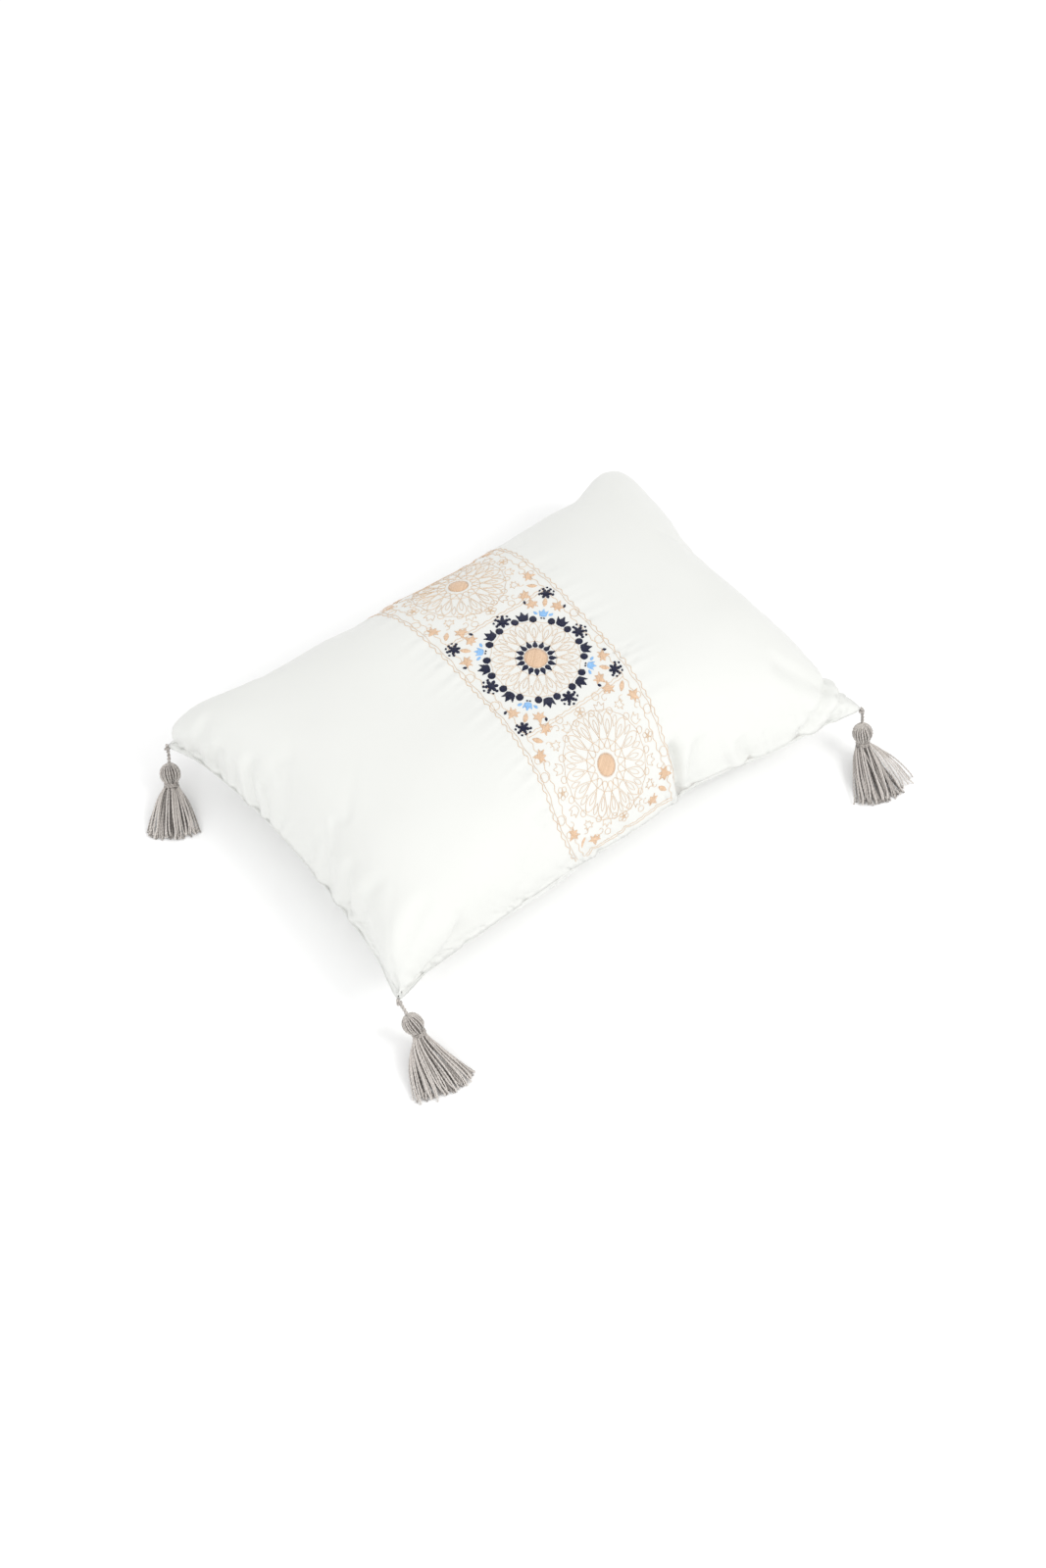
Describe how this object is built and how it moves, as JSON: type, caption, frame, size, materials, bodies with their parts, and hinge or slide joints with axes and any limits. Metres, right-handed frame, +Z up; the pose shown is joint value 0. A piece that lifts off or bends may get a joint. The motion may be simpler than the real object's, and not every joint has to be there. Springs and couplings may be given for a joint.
{
  "type": "throw pillow",
  "caption": "Rectangular stuffed throw pillow with a knife-edge seam, an embroidered band of square medallions across its front, a zip in one long seam and a tassel hanging from each corner.",
  "frame": {"origin": "centre of the flat patch on which the pillow rests, at floor level", "axes": "+X along the long sides, +Y across the pillow towards the long side that holds the zip, +Z up from the floor"},
  "size_m": [0.5591, 0.462, 0.1476],
  "materials": {
    "cover_cloth": "smooth white cotton sateen, slight sheen",
    "embroidery_thread": "satin embroidery thread in peach, navy and light blue",
    "seam_thread": "matte sewing thread",
    "casing_cloth": "plain matte woven casing",
    "filling": "matte loose fibre filling",
    "zip_tape": "matte woven tape",
    "zip_coil": "satin nylon",
    "zip_metal": "semi-gloss white enamel",
    "tassel_yarn": "matte twisted cotton yarn, greige"
  },
  "bodies": {
    "cushion": {"cover_front": "cover_cloth", "cover_back": "cover_cloth", "seam_stitching": "seam_thread", "embroidery_centre": "embroidery_thread", "embroidery_near_end": "embroidery_thread", "embroidery_far_end": "embroidery_thread", "embroidery_border_left": "embroidery_thread", "embroidery_border_right": "embroidery_thread", "casing_front": "casing_cloth", "casing_back": "casing_cloth", "insert_fill": "filling", "zipper_tape_upper": "zip_tape", "zipper_tape_lower": "zip_tape", "zipper_coil_upper": "zip_coil", "zipper_coil_lower": "zip_coil", "zipper_stops": "zip_coil"},
    "slider": {"zipper_slider": "zip_metal"},
    "pull": {"zipper_pull": "zip_metal"},
    "tassel_left_hang": {"tassel_left_cord": "tassel_yarn"},
    "tassel_left": {"tassel_left_head": "tassel_yarn", "tassel_left_neck": "tassel_yarn", "tassel_left_skirt": "tassel_yarn"},
    "tassel_near_hang": {"tassel_near_cord": "tassel_yarn"},
    "tassel_near": {"tassel_near_head": "tassel_yarn", "tassel_near_neck": "tassel_yarn", "tassel_near_skirt": "tassel_yarn"},
    "tassel_right_hang": {"tassel_right_cord": "tassel_yarn"},
    "tassel_right": {"tassel_right_head": "tassel_yarn", "tassel_right_neck": "tassel_yarn", "tassel_right_skirt": "tassel_yarn"},
    "tassel_far_hang": {"tassel_far_cord": "tassel_yarn"},
    "tassel_far": {"tassel_far_head": "tassel_yarn", "tassel_far_neck": "tassel_yarn", "tassel_far_skirt": "tassel_yarn"}
  },
  "joints": [
    {"name": "zip_travel", "type": "slide", "parent": "cushion", "child": "slider", "axis": [-1, 0, 0], "range_m": [0, 0.251]},
    {"name": "pull_flip", "type": "hinge", "parent": "slider", "child": "pull", "pos_m": [0.1255, 0.1511, 0.062], "axis": [1, 0, 0], "range_deg": [-15, 165]},
    {"name": "tassel_left_lift", "type": "hinge", "parent": "cushion", "child": "tassel_left_hang", "pos_m": [-0.24525, 0.16925, 0.04], "axis": [-0.8746, 0.4848, 0], "range_deg": [0, 80]},
    {"name": "tassel_left_turn", "type": "hinge", "parent": "tassel_left_hang", "child": "tassel_left", "pos_m": [-0.25034, 0.16006, 0.02986], "axis": [0, 0, 1], "range_deg": [-20, 20]},
    {"name": "tassel_near_lift", "type": "hinge", "parent": "cushion", "child": "tassel_near_hang", "pos_m": [-0.24525, -0.16925, 0.046], "axis": [-0.9976, 0.0698, 0], "range_deg": [0, 80]},
    {"name": "tassel_near_turn", "type": "hinge", "parent": "tassel_near_hang", "child": "tassel_near", "pos_m": [-0.24588, -0.17822, 0.03449], "axis": [0, 0, 1], "range_deg": [-20, 20]},
    {"name": "tassel_right_lift", "type": "hinge", "parent": "cushion", "child": "tassel_right_hang", "pos_m": [0.24525, -0.16925, 0.056], "axis": [-0.9205, 0.3907, 0], "range_deg": [0, 80]},
    {"name": "tassel_right_turn", "type": "hinge", "parent": "tassel_right_hang", "child": "tassel_right", "pos_m": [0.2433, -0.17385, 0.04228], "axis": [0, 0, 1], "range_deg": [-20, 20]},
    {"name": "tassel_far_lift", "type": "hinge", "parent": "cushion", "child": "tassel_far_hang", "pos_m": [0.24525, 0.16925, 0.054], "axis": [0.2419, 0.9703, 0], "range_deg": [0, 80]},
    {"name": "tassel_far_turn", "type": "hinge", "parent": "tassel_far_hang", "child": "tassel_far", "pos_m": [0.23994, 0.17057, 0.04046], "axis": [0, 0, 1], "range_deg": [-20, 10]}
  ]
}
